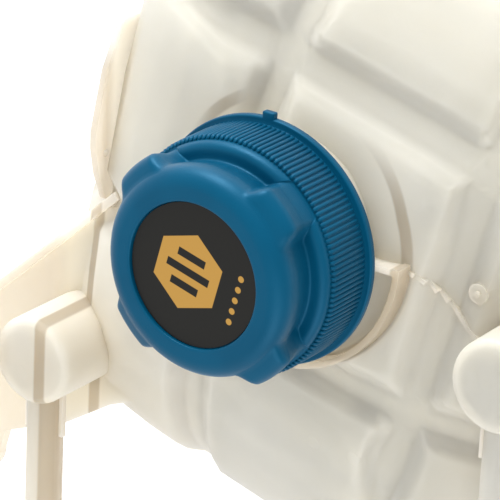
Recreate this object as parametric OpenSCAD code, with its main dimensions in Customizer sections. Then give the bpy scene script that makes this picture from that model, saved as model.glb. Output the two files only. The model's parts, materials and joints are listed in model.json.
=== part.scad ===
// Coolant expansion tank with a screw cap that holds the pressure and vacuum valves.
// Two moulded half shells are welded on a level seam. The filler neck points up (+Z) and the
// hose spigots point forward (-Y). Lengths are in millimetres. Inside the modules the neck's
// axis is x = y = 0 and z = 0 is the underside of the cap's flange. The finished model is moved
// so that its origin lies between the two holes of the mounting ear, on the ear's underside.

/* [Tank body] */
// Half of the body's width, across the long side
tank_half_w = 95; // [90:1:106]
// Half of the body's depth
tank_half_d = 105.5; // [98:0.5:112]
// Height of each domed half above its straight band
dome_h = 60; // [52:1:64]
// Height of the straight band beside the weld seam, on each half
seam_band_h = 3; // [2:0.5:5]
// Wall thickness of the shells
tank_wall = 3; // [2.6:0.1:3.6]
// How far the body is turned about the neck, against the spigots
tank_turn = 14.5; // [8:0.5:16]
// Body centre beside the neck, in the body's own turned axes
tank_off_x = 3; // [-4:1:14]
// Body centre behind the neck, or before it if below 0, in the body's own turned axes
tank_off_y = -12; // [-16:1:4]
// How square the body's plan is, where 2 is an ellipse
plan_power = 3.7; // [3:0.1:4]
// How full the body's domes are, where 2 is an ellipse
dome_power = 2.3; // [2.2:0.1:3]

/* [Quilted cells] */
// Distance of the left lengthwise groove from the body's centre line
groove_left = 23; // [18:1:30]
// Distance of the right lengthwise groove from the body's centre line
groove_right = 49.5; // [44:0.5:54]
// Distance of the front crosswise groove from the body's centre line
groove_front = 25; // [20:1:32]
// Distance of the rear crosswise groove from the body's centre line
groove_rear = 58.5; // [54:0.5:64]
// Depth of the grooves over the inner walls
groove_depth = 3.4; // [2:0.2:4]
// Half width of the flat floor of a groove
groove_floor = 3.5; // [2.5:0.5:4.5]
// Width of each rounded flank of a groove
groove_flank = 5.5; // [4:0.5:7]
// Thickness of the inner walls that divide the tank
baffle_t = 2.4; // [2:0.1:3]
// Radius of the flow notches that the inner walls have at the weld
flow_notch_r = 5; // [3:0.5:8]

/* [Weld seam] */
// How far the weld flange stands out of the body
weld_out = 3; // [2:0.5:4]
// Thickness of the weld flange on each half
weld_t = 2.5; // [2:0.5:4]

/* [Filler neck] */
// Radius of the neck's bore
neck_bore_r = 25.5; // [24:0.5:26]
// Wall of the neck
neck_wall = 3.5; // [3:0.5:4]
// Height of the neck's rim above the underside of the cap's flange
neck_top = 14; // [12:0.5:15]
// Gap between the cap's flange and the top of the tank body
neck_gap = 9; // [8:0.5:16]
// Distance from the neck's axis to the spill guard's inner face
guard_r = 39; // [38.5:0.5:42]
// Thickness of the spill guard
guard_t = 1.8; // [1.6:0.2:2.6]
// Level of the spill guard's rim below the cap's flange
guard_drop = 6; // [4:0.5:8]
// Angle that the spill guard wraps round the neck
guard_angle = 78; // [60:1:100]

/* [Hose turrets] */
// Radius of the turrets that carry the spigots
turret_r = 14; // [13:0.5:15]
// Wall of the turrets
turret_wall = 2.6; // [2.2:0.1:3]
// Level of the turrets' tops above the underside of the cap's flange
turret_top = 0; // [-2:0.5:2]
// Radius of the turrets' rounded rim
turret_round = 2.4; // [1.5:0.1:3]
// Left turret's axis, in from the body's left side
left_in = 11.3; // [10:0.1:22]
// Left turret's place, along
left_y = -63.7; // [-66:0.1:-62]
// Right turret's axis, in from the body's right side
right_in = 17.9; // [16:0.1:28]
// Right turret's place, along
right_y = -23.1; // [-26:0.1:-21]
// Outer radius of the hose spigots
spigot_r = 5.7; // [5:0.1:6.2]
// Radius of the way through the spigots
spigot_bore_r = 3.6; // [3:0.1:4]
// Reach of the spigots from the turret's axis
spigot_len = 62; // [50:1:70]
// Level of the spigots' axis below the turret's top
spigot_drop = 8.5; // [8:0.5:10]
// How far the hose bead stands out of the spigot
bead_out = 0.9; // [0.5:0.1:1.2]
// Length of the bead's cylindrical land
bead_land = 2; // [1.5:0.5:3]

/* [Bottom outlet] */
// Outer radius of the bottom outlet
outlet_r = 9.5; // [9:0.5:11]
// Wall of the bottom outlet
outlet_wall = 2.4; // [2:0.1:3]
// How far the outlet's hose bead stands out
outlet_bead = 1.2; // [0.8:0.1:1.6]
// Reach of the bottom outlet in front of the tank's shell
outlet_len = 36; // [30:1:45]
// Level of the outlet's axis below the seam
outlet_drop = 30; // [24:1:34]
// Place of the outlet's axis across, from the neck
outlet_x = 6; // [0:1:12]

/* [Mounting ear] */
// Thickness of the ear
ear_t = 3.5; // [3:0.5:5]
// Level of the ear's top face below the cap's flange
ear_drop = 28; // [26:0.5:30]
// Radius of the ear round each screw hole
ear_end_r = 11; // [10:0.5:13]
// Radius of the screw holes
ear_hole_r = 3.3; // [2.7:0.1:4.2]
// Distance between the screw holes
ear_pitch = 34; // [30:1:38]
// How far the screw holes stand out of the body's left side
ear_out = 33; // [20:1:36]
// Place of the screw pattern's centre along, from the neck
ear_y = -97; // [-100:1:-94]
// Height of the ear's raised rim
ear_rim_h = 1.6; // [1:0.2:2.4]
// Width of the ear's raised rim
ear_rim_w = 2.6; // [2:0.2:3.4]

/* [Side tab] */
// Thickness of the upright tab on the tank's left shoulder
tab_t = 2.2; // [1.8:0.2:3]
// Place of the tab, in from the body's left side
tab_in = 15; // [14:0.5:26]
// Radius of the small hole in the tab
tab_hole_r = 1.3; // [1:0.1:1.6]

/* [Cap] */
// Radius of the cap's flange
flange_r = 37; // [36:0.5:39]
// Thickness of the cap's flange
flange_t = 2.2; // [1.8:0.2:3]
// Radius over the knurl
knurl_r = 35.4; // [34.8:0.1:35.8]
// Depth of the knurl
knurl_depth = 0.55; // [0.3:0.05:0.7]
// Number of knurl ridges
knurl_count = 140; // [100:10:150]
// Height of the skirt's rounded shoulder above the flange's underside
skirt_h = 20.4; // [20:0.2:21.4]
// Radius of the bore that takes the neck
cap_bore_r = 31; // [30.9:0.1:31.4]
// Height of the cap's rim round the label
cap_h = 35.8; // [35:0.2:37]
// Thickness of the cap's roof and shoulder
roof_t = 3; // [2.6:0.1:3.4]
// Radius of the hub between the grip lobes
hub_r = 30.6; // [29.6:0.2:31.2]
// How far the grip lobes stand out of the hub
lobe_out = 4.6; // [3.6:0.2:5]
// Half angle of a grip lobe at its foot
lobe_half_angle = 21; // [18:1:24]
// Half angle of a grip lobe's rounded crest
lobe_crest_angle = 7; // [4:1:9]
// Radius of the label
label_r = 21; // [19:0.5:21.5]
// Thickness of the label
label_t = 0.6; // [0.4:0.1:1]

/* [Valve insert] */
// Clearance of the insert in the neck's bore
insert_clear = 0.6; // [0.5:0.1:0.8]
// Depth of the insert below the underside of the cap's flange
insert_depth = 12; // [11:0.5:14]
// Thickness of the insert's collar over the neck's rim
collar_t = 2.85; // [2.6:0.05:3]
// Radius of the insert's collar
collar_r = 28.4; // [27.5:0.1:29]
// Radius of the insert's spring chamber
chamber_r = 20; // [19:0.5:20.5]
// Thickness of the chamber's floor
floor_t = 2.5; // [2:0.1:3]
// Thickness of the valve cover
cover_t = 2; // [1.6:0.1:2.4]
// Radius of the O-rings' cord
ring_cord_r = 1.5; // [1.3:0.1:1.6]
// Level of the upper O-ring
ring_high = 4; // [3:0.5:6]
// Level of the lower O-ring
ring_low = -4; // [-6:0.5:-3]

/* [Valves] */
// Radius of the pressure valve's seat
seat_r = 10; // [9.5:0.1:10.5]
// Height of the pressure valve's seat
seat_h = 1.2; // [1:0.1:1.6]
// Radius of the pressure valve's plate
plate_r = 14.5; // [14:0.1:15.5]
// Thickness of the pressure valve's plate
plate_t = 2.5; // [2:0.1:3]
// Thickness of the pressure valve's seal
seal_t = 2; // [1.6:0.1:2.4]
// Radius of the pressure valve's hub
piston_hub_r = 6; // [5.6:0.1:6.4]
// Radius of the pressure spring, to the middle of its wire
main_coil_r = 12.4; // [12:0.1:13]
// Radius of the pressure spring's wire
main_wire_r = 0.95; // [0.8:0.05:1.1]
// Turns of the pressure spring
main_turns = 4; // [3:1:5]
// Radius of the vacuum valve's stem
stem_r = 1.25; // [1.1:0.05:1.4]
// Radius of the vacuum valve's head
poppet_r = 6.2; // [5.8:0.1:6.6]
// Radius of the vacuum spring, to the middle of its wire
small_coil_r = 2.7; // [2.5:0.1:2.9]
// Radius of the vacuum spring's wire
small_wire_r = 0.3; // [0.25:0.05:0.35]
// Turns of the vacuum spring
small_turns = 4; // [3:1:5]

/* [Hidden] */
$fn = 64;

// How much squarer the plan of the body's level rings gets towards the middle
square_core = 16;

// Fits
slide_fit = 0.05;
face_fit = 0.05;
stem_fit = 0.1;
axial_play = 0.2;
shoulder_gap = 0.1;
cut = 1;
overlap = 0.5;
// Depth that what stands on the body is sunk into it, so that it meets the dome's slope
body_sink = 8;

// Levels that several pieces share
body_top = -neck_gap;
grooves_x = [-groove_left, groove_right];
grooves_y = [-groove_front, groove_rear];
seam_z = body_top - dome_h - seam_band_h;
ear_top = -ear_drop;
neck_r = neck_bore_r + neck_wall;
collar_low = neck_top + face_fit;
collar_top = collar_low + collar_t;
shoulder_low = collar_top + shoulder_gap;
floor_low = -insert_depth;
floor_top = floor_low + floor_t;
seat_top = floor_top + seat_h;
seal_low = seat_top + face_fit;
plate_low = seal_low + seal_t;
plate_top = plate_low + plate_t;
cover_low = collar_top - cover_t;
insert_r = neck_bore_r - insert_clear;
cover_lip = 2.4;
cover_r = chamber_r + cover_lip;

// Cap
shoulder_round = 2.6;
hub_wall = 5.4;
hub_low = skirt_h - shoulder_round;
hub_inner_r = hub_r - hub_wall;
knurl_down = 2.4;
knurl_top = skirt_h - knurl_down;
label_clear = 0.25;
label_depth = 1.6;
label_floor = cap_h - label_depth;
hub_roof = label_floor - roof_t;
stud_r = 4;
stud_head_r = 5.2;
boss_r = 8.5;
boss_gap = 0.6;
boss_slot = 1.4;
stud_len = 5;
stud_head_low = collar_top + stud_len;
stud_head_h = 4;

// Vacuum valve
spring_ring_h = 2;
spring_clear = 0.6;
spring_gap = 0.02;
vac_lip_out = 0.8;
vac_lip_h = 1;
piston_low = seal_low - vac_lip_h - face_fit;
vac_web_t = 1.7;
vac_cup_depth = 1.7;
vac_cup_wall = 2.2;
vac_cup_r = piston_hub_r - vac_cup_wall;
vac_bore_wall = 1.8;
vac_bore_r = piston_hub_r - vac_bore_wall;
vac_web_low = piston_low + vac_cup_depth;
vac_web_top = vac_web_low + vac_web_t;
piston_hub_h = 5.5;
piston_top = plate_top + piston_hub_h;
vac_seal_t = 1;
vac_seal_top = piston_low - face_fit;
vac_head_top = vac_seal_top - vac_seal_t;
vac_head_t = 1.2;
washer_t = 0.7;
washer_r = 3.6;
washer_sink = 1;
washer_low = piston_top - washer_sink;
stem_tip = 0.7;
stem_top = washer_low + washer_t + stem_tip;
stem_groove = 0.3;
stem_neck_r = stem_r - stem_groove;
press_fit = 0.02;

// Places that follow the body's width
left_x = left_in - tank_half_w;
right_x = tank_half_w - right_in;
ear_x = -tank_half_w - ear_out;
tab_x = tab_in - tank_half_w;

// Turrets: place across, place along, and how far their outside reaches down into the dome
turret_sink = 2;
turrets = [for (p = [[left_x, left_y], [right_x, right_y]]) [p[0], p[1], turret_depth(p[0], p[1])]];

// Plan of the ear, beside the neck
ear_holes = [[ear_x, ear_y + ear_pitch / 2], [ear_x, ear_y - ear_pitch / 2]];
ear_shoulder = ear_holes[0] + ear_end_r * [-0.685, 0.729];
ear_root = [left_x, left_y] + turret_r * [0.136, 3.03];

// Sorts a list of numbers and drops the copies
function sorted(v) =
    len(v) < 2 ? v
    : let (pivot = v[floor(len(v) / 2)])
      concat(
          sorted([for (x = v) if (x < pivot) x]),
          [pivot],
          sorted([for (x = v) if (x > pivot) x])
      );

// True if x lies closer than gap to a member of v
function near_any(x, v, gap) = len([for (k = v) if (abs(k - x) < gap) k]) > 0;

// Grid lines from -1 to 1: dense at the rim, with extra lines along the flanks of each groove
function grid_lines(count, ats, half) =
    let (
        offsets = [groove_floor, groove_floor + groove_flank / 2, groove_floor + groove_flank],
        extra = [for (at = ats, way = [-1, 1], o = offsets) (at + way * o) / half],
        base = [for (i = [-count : count]) sin(90 * i / count)]
    )
    sorted(concat(extra, [for (x = base) if (!near_any(x, extra, 0.018)) x]));

// Share of the groove's depth at distance d from its middle
function groove_share(d) =
    d <= groove_floor ? 1
    : d >= groove_floor + groove_flank ? 0
    : 0.5 + 0.5 * cos(180 * (d - groove_floor) / groove_flank);

// Depth of the quilt at grid place u, v, fading out towards the seam
function quilt(u, v, level) =
    let (
        across = max([for (at = grooves_x) groove_share(abs(u * tank_half_w - at))]),
        along = max([for (at = grooves_y) groove_share(abs(v * tank_half_d - at))]),
        fade = min(1, 2 * level)
    )
    groove_depth * fade * max(across, along);

// Point of a dome of half sizes w, d, h at grid place u, v, sunk along its normal in the grooves
function dome_point(u, v, w, d, h) =
    let (
        s = max(abs(u), abs(v)),
        power = plan_power + square_core * (1 - s),
        span = pow(pow(abs(u), power) + pow(abs(v), power), 1 / power),
        k = s == 0 ? 0 : s / span,
        x = u * k,
        y = v * k,
        z = pow(max(0, 1 - pow(s, dome_power)), 1 / dome_power),
        slope = s == 0 ? 0 : pow(s, dome_power - plan_power),
        nx = sign(x) * pow(abs(x), plan_power - 1) * slope / w,
        ny = sign(y) * pow(abs(y), plan_power - 1) * slope / d,
        nz = pow(z, dome_power - 1) / h,
        n = [nx, ny, nz] / norm([nx, ny, nz])
    )
    [w * x, d * y, h * z] - quilt(u, v, z) * n;

// Level of the body's skin over place x, y in the neck's axes
function skin_level(x, y) =
    let (
        u = (cos(tank_turn) * x - sin(tank_turn) * y - tank_off_x) / tank_half_w,
        v = (sin(tank_turn) * x + cos(tank_turn) * y - tank_off_y) / tank_half_d,
        power = plan_power + square_core * max(0, 1 - max(abs(u), abs(v))),
        s = pow(pow(abs(u), power) + pow(abs(v), power), 1 / power),
        z = pow(max(0, 1 - pow(s, dome_power)), 1 / dome_power)
    )
    body_top - dome_h * (1 - z) - quilt(u, v, z);

// Depth below its top at which a turret at x, y ends under the skin all round
function turret_depth(x, y) =
    turret_top + turret_sink
    - min([for (a = [0 : 30 : 330]) skin_level(x + turret_r * cos(a), y + turret_r * sin(a))]);

// Points round the edge of a square grid, counterclockwise
function rim_indices(nu, nv) = concat(
    [for (i = [0 : nu - 2]) i],
    [for (j = [0 : nv - 2]) j * nu + nu - 1],
    [for (i = [nu - 1 : -1 : 1]) (nv - 1) * nu + i],
    [for (j = [nv - 1 : -1 : 1]) j * nu]
);

// Plan outline of the body, grown by out
function plan_outline(out) = [
    for (t = [0 : 3 : 357])
        let (
            c = cos(t),
            s = sin(t),
            r = 1 / pow(pow(abs(c), plan_power) + pow(abs(s), plan_power), 1 / plan_power)
        )
        [(tank_half_w + out) * r * c, (tank_half_d + out) * r * s]
];

// Domed half with a straight band below it, its seam at z = -band
module dome(inset, count, band) {
    w = tank_half_w - inset;
    d = tank_half_d - inset;
    h = dome_h - inset;
    us = grid_lines(count, grooves_x, tank_half_w);
    vs = grid_lines(count, grooves_y, tank_half_d);
    nu = len(us);
    nv = len(vs);
    rim = rim_indices(nu, nv);
    top = [for (v = vs, u = us) dome_point(u, v, w, d, h)];
    low = [for (i = rim) [top[i][0], top[i][1], -band]];
    first = nu * nv;
    n = len(rim);
    cells = [
        for (j = [0 : nv - 2], i = [0 : nu - 2])
            let (a = j * nu + i, b = a + 1, c = a + nu + 1, e = a + nu, flip = us[i] * vs[j] < 0)
            each flip ? [[a, e, b], [b, e, c]] : [[a, c, b], [a, e, c]]
    ];
    wall = [
        for (k = [0 : n - 1])
            let (m = (k + 1) % n)
            each [[rim[k], rim[m], first + m], [rim[k], first + m, first + k]]
    ];
    base = [[for (k = [0 : n - 1]) first + k]];
    polyhedron(points = concat(top, low), faces = concat(cells, wall, base), convexity = 6);
}

// Places the body's own axes: children are drawn with the seam at z = 0
module at_body() {
    rotate([0, 0, -tank_turn])
        translate([tank_off_x, tank_off_y, seam_z])
            children();
}

// Middles of the three cells between the body's sides and its grooves
function cell_middles(ats, half) = [(ats[0] - half) / 2, (ats[0] + ats[1]) / 2, (ats[1] + half) / 2];

// Walls that divide one half into nine cells, with a notch at the weld from each cell to the next
module baffles(height) {
    reach = 2 * max(tank_half_w, tank_half_d);
    way_in = 1.5;
    difference() {
        union() {
            for (x = grooves_x)
                translate([x - baffle_t / 2, -reach / 2, -cut])
                    cube([baffle_t, reach, height + cut]);
            for (y = grooves_y)
                translate([-reach / 2, y - baffle_t / 2, -cut])
                    cube([reach, baffle_t, height + cut]);
        }
        for (y = cell_middles(grooves_y, tank_half_d))
            translate([-reach / 2, y, 0])
                rotate([0, 90, 0])
                    cylinder(r = flow_notch_r, h = reach);
        for (x = cell_middles(grooves_x, tank_half_w))
            translate([x, -reach / 2, 0])
                rotate([-90, 0, 0])
                    cylinder(r = flow_notch_r, h = reach);
        // Clear way under the filler neck
        translate([-tank_off_x, -tank_off_y, -2 * cut])
            cylinder(r = neck_bore_r - way_in, h = height + 3 * cut);
    }
}

// Turned profile of a closed turret with a rounded rim, top at z = 0
module turret_outside(depth) {
    rotate_extrude()
        polygon(concat(
            [[0, -depth], [turret_r, -depth]],
            [for (a = [0 : 15 : 90])
                [turret_r - turret_round * (1 - cos(a)), -turret_round * (1 - sin(a))]],
            [[0, 0]]
        ));
}

// Hose end along +Z: a plain stem, a bead with a short round land, and a tapered tip
module hose_end(radius, length, bead) {
    ramp = 2 * bead;
    tip = 5;
    tip_in = 0.4;
    land_start = length - tip - bead_land;
    cylinder(r = radius, h = land_start + bead_land / 2);
    translate([0, 0, land_start - ramp])
        cylinder(r1 = radius, r2 = radius + bead, h = ramp);
    translate([0, 0, land_start])
        cylinder(r = radius + bead, h = bead_land);
    translate([0, 0, length - tip])
        cylinder(r1 = radius + bead, r2 = radius - tip_in, h = tip);
}

// Spigot along -Y with a pair of short fins at its root
module spigot_outside() {
    fin_t = 1.6;
    fin_out = 1.5;
    fin_len = 12;
    rotate([90, 0, 0])
        hose_end(spigot_r, spigot_len, bead_out);
    translate([-spigot_r - fin_out, -turret_r - fin_len, -fin_t / 2])
        cube([2 * (spigot_r + fin_out), fin_len + turret_r / 2, fin_t]);
}

// Both turrets with their spigots
module turrets_outside() {
    for (t = turrets)
        translate([t[0], t[1], turret_top]) {
            turret_outside(t[2]);
            translate([0, 0, -spigot_drop])
                spigot_outside();
        }
}

// Ways through the turrets and spigots into the tank
module turrets_inside() {
    through = 0.65 * turret_r;
    for (t = turrets)
        translate([t[0], t[1], turret_top]) {
            translate([0, 0, -t[2] - through])
                cylinder(r = turret_r - turret_wall, h = t[2] + through - turret_wall);
            translate([0, 0, -spigot_drop])
                rotate([90, 0, 0])
                    cylinder(r = spigot_bore_r, h = spigot_len + cut);
        }
}

// Curved spill guard beside the neck, with a radial web just inside its rear end
module spill_guard() {
    end_angle = -0.5;
    web_back = 0.4;
    low = body_top - body_sink;
    height = -guard_drop - low;
    rotate([0, 0, end_angle - guard_angle])
        rotate_extrude(angle = guard_angle)
            translate([guard_r, low])
                square([guard_t, height]);
    rotate([0, 0, end_angle])
        translate([neck_r - cut, -guard_t - web_back, low])
            cube([guard_r + guard_t / 2 - neck_r + cut, guard_t, height]);
}

// Flat ear, in plan: it runs from the screw holes past the left turret into the body
module ear_plan() {
    turret = [left_x, left_y];
    front_hole = ear_holes[1] + [ear_end_r, 0];
    hull()
        for (p = ear_holes)
            translate(p)
                circle(r = ear_end_r);
    polygon([
        turret + turret_r * [3.1, 3.8], ear_root, ear_shoulder, ear_holes[0],
        front_hole, front_hole + ear_end_r * [0.18, 0.64], turret + turret_r * [-1.8, -2.9],
        turret + turret_r * [-0.47, -2.32], turret + turret_r * [0.71, -1.53], turret + turret_r * [3.1, -0.45]
    ]);
}

// Mounting ear with its raised rim along the rear edge
module ear() {
    translate([0, 0, ear_top - ear_t])
        linear_extrude(ear_t)
            ear_plan();
    along = (ear_shoulder - ear_root) / norm(ear_shoulder - ear_root);
    inward = [-along[1], along[0]];
    rim_a = ear_root - ear_end_r * along;
    rim_b = ear_shoulder;
    translate([0, 0, ear_top - overlap])
        linear_extrude(ear_rim_h + overlap)
            polygon([rim_a, rim_b, rim_b + ear_rim_w * inward, rim_a + ear_rim_w * inward]);
}

// Upright tab on the left shoulder, drawn in the plane across X
module side_tab() {
    tab_hole = turret_r * [-0.2, -1.42];
    front = [[1.28, -3], [1.28, -1.46], [0.66, -1.19], [0.04, -1.05], [-0.35, -1.04]];
    rear = [[-1.69, -1.39], [-2.72, -1.93], [-2.72, -3]];
    outline = turret_r * concat(front, rear);
    difference() {
        translate([tab_x + tab_t / 2, 0, 0])
            rotate([90, 0, -90])
                linear_extrude(tab_t)
                    polygon([for (p = outline) p + [0, body_top]]);
        translate([tab_x, tab_hole[0], body_top + tab_hole[1]])
            rotate([0, 90, 0])
                cylinder(r = tab_hole_r, h = 3 * tab_t, center = true);
    }
}

// Thin rib that runs over the body from the spill guard to the right turret
module guide_rib() {
    half = 0.6;
    proud = 0.7;
    sink = 3;
    parts = 2;
    start = [guard_r, -guard_t];
    run = [right_x - turret_r + cut, right_y + cut] - start;
    bends = [[0, 0], [0.26, 0.15], [0.47, 0.43], [0.73, 0.78], [1, 1]];
    shares = [
        for (k = [0 : len(bends) - 2], t = [0 : parts - 1])
            bends[k] + t / parts * (bends[k + 1] - bends[k])
    ];
    path = [for (k = concat(shares, [[1, 1]])) start + [k[0] * run[0], k[1] * run[1]]];
    for (i = [0 : len(path) - 2])
        let (
            a = path[i],
            b = path[i + 1],
            side = half * [a[1] - b[1], b[0] - a[0]] / norm(b - a),
            level_a = skin_level(a[0], a[1]),
            level_b = skin_level(b[0], b[1])
        )
        translate([0, 0, min(level_a, level_b) - sink])
            linear_extrude(abs(level_a - level_b) / 2 + sink + proud)
                polygon([a - side, b - side, b + side, a + side]);
}

// Gate mark: a low round boss with a pip
module gate_mark() {
    place = [right_x, right_y] + turret_r * [-1.24, 1.24];
    boss_mark_r = 3;
    boss_h = 3.4;
    sink = 2.6;
    pip_r = 0.9;
    pip_h = 0.8;
    translate([place[0], place[1], skin_level(place[0], place[1]) - sink]) {
        cylinder(r = boss_mark_r, h = boss_h);
        cylinder(r = pip_r, h = boss_h + pip_h);
    }
}

// Outside of the filler neck
module neck_outside() {
    translate([0, 0, body_top - body_sink])
        cylinder(r = neck_r, h = neck_top - body_top + body_sink);
}

// Upper half: dome, neck, guard, turrets, ear and tab in one moulding
module upper_shell() {
    neck_root = 12;
    color("ivory")
        difference() {
            union() {
                at_body() {
                    translate([0, 0, seam_band_h])
                        dome(0, 10, seam_band_h);
                    linear_extrude(weld_t)
                        polygon(plan_outline(weld_out));
                }
                neck_outside();
                spill_guard();
                turrets_outside();
                ear();
                side_tab();
                guide_rib();
                gate_mark();
            }
            at_body()
                difference() {
                    translate([0, 0, seam_band_h])
                        dome(tank_wall, 8, seam_band_h + cut);
                    baffles(dome_h + seam_band_h);
                }
            translate([0, 0, body_top - neck_root])
                cylinder(r = neck_bore_r, h = neck_top - body_top + neck_root + cut);
            turrets_inside();
            for (p = ear_holes)
                translate([p[0], p[1], ear_top - ear_t - cut])
                    cylinder(r = ear_hole_r, h = ear_t + ear_rim_h + 2 * cut);
        }
}

// Places the bottom outlet: children point from start towards the front
module at_outlet(start) {
    translate([outlet_x, start, seam_z - outlet_drop])
        rotate([90, 0, 0])
            children();
}

// Lower half: dome with its outlet
module lower_shell() {
    root = 22;
    front = -tank_half_d + root;
    reach = root + outlet_len;
    color("ivory")
        difference() {
            union() {
                at_body()
                    mirror([0, 0, 1]) {
                        translate([0, 0, seam_band_h])
                            dome(0, 9, seam_band_h);
                        linear_extrude(weld_t)
                            polygon(plan_outline(weld_out));
                    }
                at_outlet(front)
                    hose_end(outlet_r, reach, outlet_bead);
            }
            at_body()
                mirror([0, 0, 1])
                    difference() {
                        translate([0, 0, seam_band_h])
                            dome(tank_wall, 7, seam_band_h + cut);
                        baffles(dome_h + seam_band_h);
                    }
            at_outlet(front + root / 2)
                cylinder(r = outlet_r - outlet_wall, h = reach + root / 2 + cut);
        }
}

// Profile of the cap's hub between its lobes, as radius and level: a waist, a barrel and a rounded rim
function hub_profile() =
    let (
        waist_in = 1.8,
        waist = hub_r - waist_in,
        edge = 5.2,
        edge_in = 1.1 * edge,
        rim_z = cap_h - edge,
        label_rim = 2.2
    )
    concat(
        [[waist, hub_low], [waist, skirt_h], [waist, skirt_h + waist_in]],
        [[hub_r - 0.4 * waist_in, skirt_h + 3 * waist_in], [hub_r, rim_z - waist_in]],
        [for (a = [0 : 18 : 90]) [hub_r - edge_in * (1 - cos(a)), rim_z + edge * sin(a)]],
        [[label_r + label_rim, cap_h]]
    );

// Share of the lobe's full reach at level z, rounded over towards the face
function lobe_share(z) =
    let (crown = 1.4 * lobe_out, t = min(1, max(0, z - cap_h + crown) / crown))
    sqrt(1 - t * t);

// Share of the lobe's reach at angle a, 0 between lobes
function lobe_angle_share(a) =
    let (
        quarter = 90,
        off = abs((a % quarter) - quarter / 2),
        t = (off - lobe_crest_angle) / (lobe_half_angle - lobe_crest_angle)
    )
    0.5 + 0.5 * cos(180 * min(1, max(0, t)));

// Hub with four rounded grip lobes, built up in rings
module grip_hub() {
    steps = 120;
    rings = hub_profile();
    levels = len(rings);
    points = [
        for (ring = rings, i = [0 : steps - 1])
            let (
                a = 360 * i / steps,
                r = ring[0] + lobe_out * lobe_share(ring[1]) * lobe_angle_share(a)
            )
            [r * cos(a), r * sin(a), ring[1]]
    ];
    sides = [
        for (j = [0 : levels - 2], i = [0 : steps - 1])
            let (a = j * steps + i, b = j * steps + (i + 1) % steps)
            each [[a, a + steps, b], [b, a + steps, b + steps]]
    ];
    bottom = [[for (i = [0 : steps - 1]) i]];
    top = [[for (i = [steps - 1 : -1 : 0]) (levels - 1) * steps + i]];
    polyhedron(points = points, faces = concat(sides, bottom, top), convexity = 4);
}

// Knurled skirt, in plan
module knurl_plan() {
    polygon([
        for (i = [0 : 2 * knurl_count - 1])
            let (a = 180 * i / knurl_count, r = knurl_r - (i % 2) * knurl_depth)
            [r * cos(a), r * sin(a)]
    ]);
}

// Outer cap: flange with its tab, knurled skirt, shoulder and lobed hub
module cap_shell() {
    shoulder_in = 4;
    shoulder_r = knurl_r - shoulder_in;
    shoulder_down = 4.5;
    bevel = 0.5;
    tab_w = 4;
    tab_out = 1.7;
    color("steelblue")
        difference() {
            union() {
                rotate_extrude()
                    polygon([
                        [0, 0], [flange_r - bevel, 0], [flange_r, bevel], [flange_r, flange_t - bevel],
                        [flange_r - bevel, flange_t], [0, flange_t]
                    ]);
                translate([0, 0, flange_t - overlap])
                    linear_extrude(knurl_top - flange_t + overlap)
                        knurl_plan();
                rotate_extrude()
                    polygon(concat(
                        [[0, skirt_h - shoulder_down], [shoulder_r + shoulder_round, skirt_h - shoulder_down]],
                        [for (a = [0 : 15 : 90])
                            [shoulder_r + shoulder_round * cos(a), skirt_h - shoulder_round * (1 - sin(a))]],
                        [[0, skirt_h]]
                    ));
                grip_hub();
                translate([-tab_w / 2, flange_r - tab_w / 2, 0])
                    cube([tab_w, tab_out + tab_w / 2, flange_t]);
            }
            translate([0, 0, -cut])
                cylinder(r = cap_bore_r, h = shoulder_low + cut);
            difference() {
                translate([0, 0, shoulder_low - cut])
                    cylinder(r = hub_inner_r, h = hub_roof - shoulder_low + cut);
                cap_boss();
            }
            translate([0, 0, label_floor])
                cylinder(r = label_r + label_clear, h = cap_h - label_floor + cut);
        }
}

// Slotted socket inside the cap that snaps over the valve cover's stud
module cap_boss() {
    low = collar_top + boss_gap;
    head_clear = 0.4;
    difference() {
        translate([0, 0, low])
            cylinder(r = boss_r, h = hub_roof - low + cut);
        translate([0, 0, low - cut])
            cylinder(r = stud_r + slide_fit, h = hub_roof - low + cut);
        translate([0, 0, stud_head_low - axial_play])
            cylinder(r = stud_head_r + head_clear, h = hub_roof - stud_head_low + axial_play);
        for (a = [0, 60, 120])
            rotate([0, 0, a])
                translate([-boss_r - cut, -boss_slot / 2, low - cut])
                    cube([2 * (boss_r + cut), boss_slot, stud_head_low + stud_head_h / 2 - low]);
    }
}

// Printed label disc in the cap's recess
module cap_label() {
    color("#1d1a14")
        translate([0, 0, label_floor])
            cylinder(r = label_r, h = label_t);
}

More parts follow.
